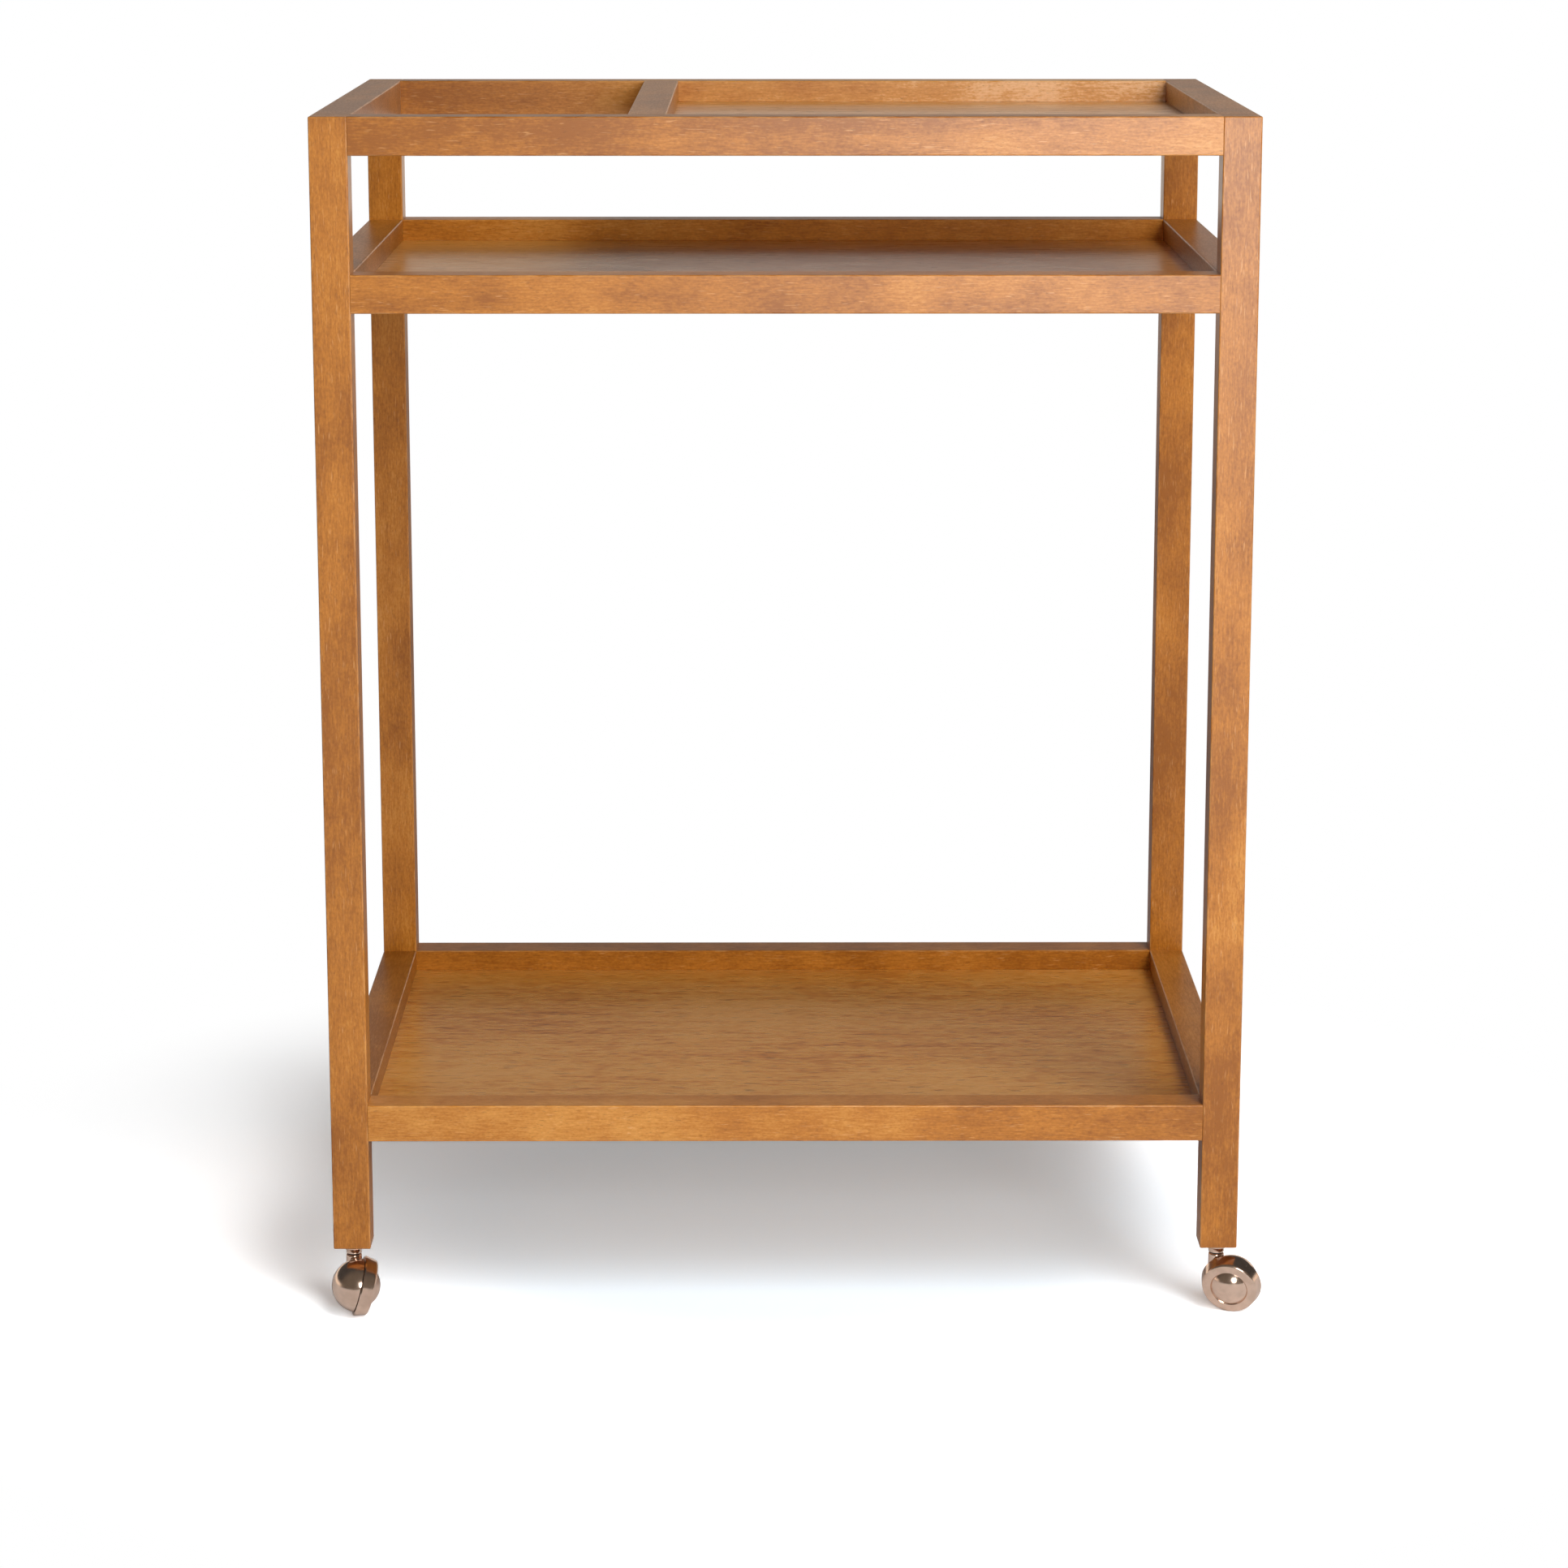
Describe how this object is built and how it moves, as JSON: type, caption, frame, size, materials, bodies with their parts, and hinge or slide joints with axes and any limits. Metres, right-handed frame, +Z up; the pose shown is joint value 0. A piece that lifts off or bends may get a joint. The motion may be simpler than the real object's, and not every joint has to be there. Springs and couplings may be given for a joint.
{
  "type": "serving trolley",
  "caption": "Open rectangular wooden serving trolley on swivelling ball casters, with recessed shelves and a top tier split into an open bottle well and a tray.",
  "frame": {"origin": "on the floor, under the middle of the trolley", "axes": "+X to the right seen from the front, +Y from the front to the rear, +Z up"},
  "size_m": [0.6972, 0.498, 0.871],
  "materials": {
    "frame_wood": "honey-brown stain under satin lacquer",
    "panel_wood": "honey-brown stained veneer under satin lacquer",
    "polished_nickel": "polished warm nickel plate",
    "pin_steel": "bright drawn steel",
    "dark_washer": "dark moulded washer"
  },
  "bodies": {
    "frame": {"front_left_leg": "frame_wood", "front_left_socket": "polished_nickel", "front_right_leg": "frame_wood", "front_right_socket": "polished_nickel", "lower_front_rail": "frame_wood", "lower_left_rail": "frame_wood", "lower_panel": "panel_wood", "lower_rear_rail": "frame_wood", "lower_right_rail": "frame_wood", "middle_front_rail": "frame_wood", "middle_left_rail": "frame_wood", "middle_panel": "panel_wood", "middle_rear_rail": "frame_wood", "middle_right_rail": "frame_wood", "rear_left_leg": "frame_wood", "rear_left_socket": "polished_nickel", "rear_right_leg": "frame_wood", "rear_right_socket": "polished_nickel", "top_divider": "frame_wood", "top_front_rail": "frame_wood", "top_left_rail": "frame_wood", "top_rear_rail": "frame_wood", "top_right_rail": "frame_wood", "top_tray_panel": "panel_wood"},
    "front_left_swivel": {"front_left_stem": "pin_steel", "front_left_grip_ring": "pin_steel", "front_left_swivel_washer": "dark_washer", "front_left_hood": "polished_nickel", "front_left_axle": "pin_steel"},
    "front_left_roller": {"front_left_wheel": "polished_nickel", "front_left_wheel_cap": "polished_nickel"},
    "front_right_swivel": {"front_right_stem": "pin_steel", "front_right_grip_ring": "pin_steel", "front_right_swivel_washer": "dark_washer", "front_right_hood": "polished_nickel", "front_right_axle": "pin_steel"},
    "front_right_roller": {"front_right_wheel": "polished_nickel", "front_right_wheel_cap": "polished_nickel"},
    "rear_right_swivel": {"rear_right_stem": "pin_steel", "rear_right_grip_ring": "pin_steel", "rear_right_swivel_washer": "dark_washer", "rear_right_hood": "polished_nickel", "rear_right_axle": "pin_steel"},
    "rear_right_roller": {"rear_right_wheel": "polished_nickel", "rear_right_wheel_cap": "polished_nickel"},
    "rear_left_swivel": {"rear_left_stem": "pin_steel", "rear_left_grip_ring": "pin_steel", "rear_left_swivel_washer": "dark_washer", "rear_left_hood": "polished_nickel", "rear_left_axle": "pin_steel"},
    "rear_left_roller": {"rear_left_wheel": "polished_nickel", "rear_left_wheel_cap": "polished_nickel"}
  },
  "joints": [
    {"name": "front_left_swivel_turn", "type": "hinge", "parent": "frame", "child": "front_left_swivel", "pos_m": [-0.3165, -0.215, 0.04997], "axis": [0, 0, 1], "continuous": true},
    {"name": "front_left_wheel_roll", "type": "hinge", "parent": "front_left_swivel", "child": "front_left_roller", "pos_m": [-0.31228, -0.22703, 0.02178], "axis": [0.9587, 0.1347, -0.2504], "continuous": true},
    {"name": "front_right_swivel_turn", "type": "hinge", "parent": "frame", "child": "front_right_swivel", "pos_m": [0.3165, -0.215, 0.04997], "axis": [0, 0, 1], "continuous": true},
    {"name": "front_right_wheel_roll", "type": "hinge", "parent": "front_right_swivel", "child": "front_right_roller", "pos_m": [0.32762, -0.22124, 0.02178], "axis": [-0.2992, -0.9208, -0.2504], "continuous": true},
    {"name": "rear_right_swivel_turn", "type": "hinge", "parent": "frame", "child": "rear_right_swivel", "pos_m": [0.3165, 0.215, 0.04997], "axis": [0, 0, 1], "continuous": true},
    {"name": "rear_right_wheel_roll", "type": "hinge", "parent": "rear_right_swivel", "child": "rear_right_roller", "pos_m": [0.31228, 0.22703, 0.02178], "axis": [-0.9587, -0.1347, -0.2504], "continuous": true},
    {"name": "rear_left_swivel_turn", "type": "hinge", "parent": "frame", "child": "rear_left_swivel", "pos_m": [-0.3165, 0.215, 0.04997], "axis": [0, 0, 1], "continuous": true},
    {"name": "rear_left_wheel_roll", "type": "hinge", "parent": "rear_left_swivel", "child": "rear_left_roller", "pos_m": [-0.32762, 0.22124, 0.02178], "axis": [0.2992, 0.9208, -0.2504], "continuous": true}
  ]
}
